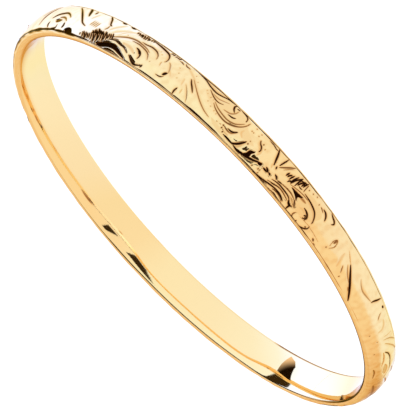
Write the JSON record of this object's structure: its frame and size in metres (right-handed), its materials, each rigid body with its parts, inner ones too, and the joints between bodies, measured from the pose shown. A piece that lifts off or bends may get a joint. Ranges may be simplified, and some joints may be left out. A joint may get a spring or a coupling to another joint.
{
  "type": "bangle bracelet",
  "caption": "Slim rigid bangle: a closed round band of yellow gold, scroll-engraved outside, plain polished comfort-fit inside, with flat rims.",
  "frame": {"origin": "centre of the ring, in the plane of the rim it rests on", "axes": "+Z along the ring's axis, away from the surface it rests on; X and Y are in the plane of the ring, and the solder seam is at 152 degrees from +X towards +Y"},
  "size_m": [0.0677, 0.0677, 0.0052],
  "materials": {
    "gold": null,
    "gold_solder": null
  },
  "bodies": {
    "root": {"band": "gold", "solder_seam": "gold_solder"}
  },
  "joints": []
}
